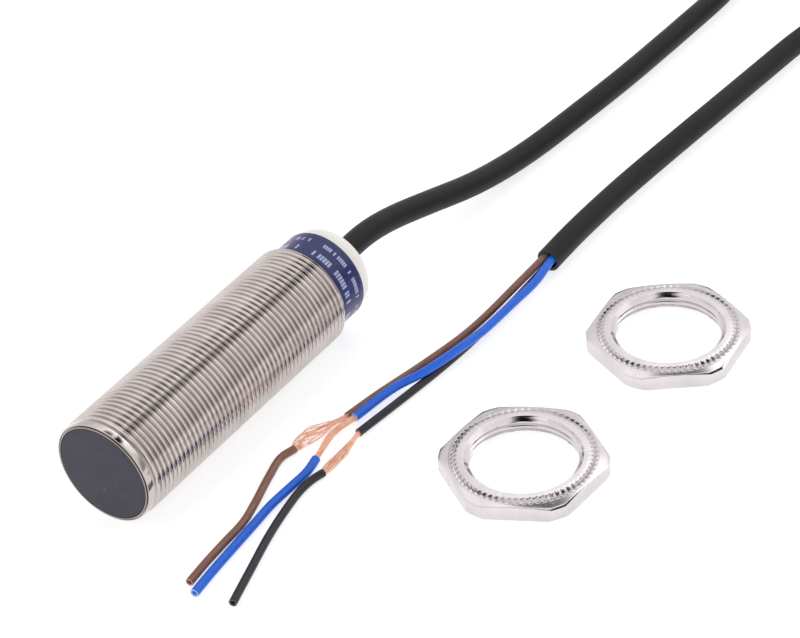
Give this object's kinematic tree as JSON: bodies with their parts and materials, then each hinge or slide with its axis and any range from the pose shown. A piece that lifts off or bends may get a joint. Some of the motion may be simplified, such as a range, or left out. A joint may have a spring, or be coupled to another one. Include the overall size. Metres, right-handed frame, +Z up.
{
  "type": "inductive proximity sensor",
  "caption": "Threaded cylindrical inductive proximity sensor with a flush sensing face, moulded cable with stripped cores, and loose hexagon mounting nuts beside it.",
  "frame": {"origin": "on the surface that the set lies on, under the middle of the box round the sensor and its nuts, the cable left out", "axes": "+Z up from that surface; the sensor's axis runs along Y and its sensing face looks towards -Y"},
  "size_m": [0.0755, 0.2647, 0.018],
  "materials": {
    "nickel_plated_brass": "bright nickel plate, fine machining lines",
    "sensing_plastic": "dark blue-grey moulded plastic, fine satin grain",
    "ferrite": "dull sintered ferrite",
    "natural_plastic": "natural moulded plastic",
    "black_plastic": "black moulded plastic",
    "winding_copper": "enamelled copper wire",
    "copper_sheet": "bright copper strip",
    "board_laminate": "green solder mask on glass laminate",
    "component_ceramic": "fired ceramic",
    "led_lens": "clear tinted epoxy",
    "potting_resin": "cast resin",
    "label_film": null,
    "ivory_plastic": "translucent ivory moulded plastic",
    "crimp_brass": "plain rolled brass",
    "cable_jacket": "smooth black cable jacket, satin",
    "core_brown": "brown core insulation, satin",
    "core_blue": "blue core insulation, satin",
    "core_black": "black core insulation, satin",
    "strand_copper": "bare bright copper strands",
    "tie_fabric": "black hook and loop strap"
  },
  "bodies": {
    "sensor_body": {"barrel": "nickel_plated_brass", "sensing_cap": "sensing_plastic", "ferrite_core": "ferrite", "coil_bobbin": "natural_plastic", "coil_winding": "winding_copper", "shield_ring": "copper_sheet", "core_carrier": "black_plastic", "coil_pin_1": "copper_sheet", "coil_pin_2": "copper_sheet", "circuit_board": "board_laminate", "sensor_ic": "black_plastic", "output_transistor": "black_plastic", "protection_diode": "black_plastic", "supply_capacitor": "component_ceramic", "tuning_capacitor": "component_ceramic", "tuning_resistor": "natural_plastic", "led_resistor": "natural_plastic", "led_1": "led_lens", "led_2": "led_lens", "led_3": "led_lens", "led_4": "led_lens", "potting_plug": "potting_resin", "rear_housing": "black_plastic", "label_band": "label_film", "light_ring": "ivory_plastic", "cable_seal": "black_plastic", "cable_clamp": "crimp_brass", "cable_root": "cable_jacket", "core_stub_brown": "core_brown", "core_stub_blue": "core_blue", "core_stub_black": "core_black", "cable_lead": "cable_jacket", "cable_coil": "cable_jacket", "cable_tail": "cable_jacket", "coil_tie": "tie_fabric", "core_brown": "core_brown", "core_blue": "core_blue", "core_black": "core_black", "strands_brown": "strand_copper", "strands_blue": "strand_copper", "strands_black": "strand_copper", "slug_brown": "core_brown", "slug_blue": "core_blue", "slug_black": "core_black"},
    "nut_1_body": {"nut_1": "nickel_plated_brass"},
    "nut_2_body": {"nut_2": "nickel_plated_brass"}
  },
  "joints": [
    {"name": "nut_1_lift", "type": "slide", "parent": "sensor_body", "child": "nut_1_body", "axis": [0, 0, 1], "range_m": [0, 0.03]},
    {"name": "nut_2_lift", "type": "slide", "parent": "sensor_body", "child": "nut_2_body", "axis": [0, 0, 1], "range_m": [0, 0.03]}
  ]
}
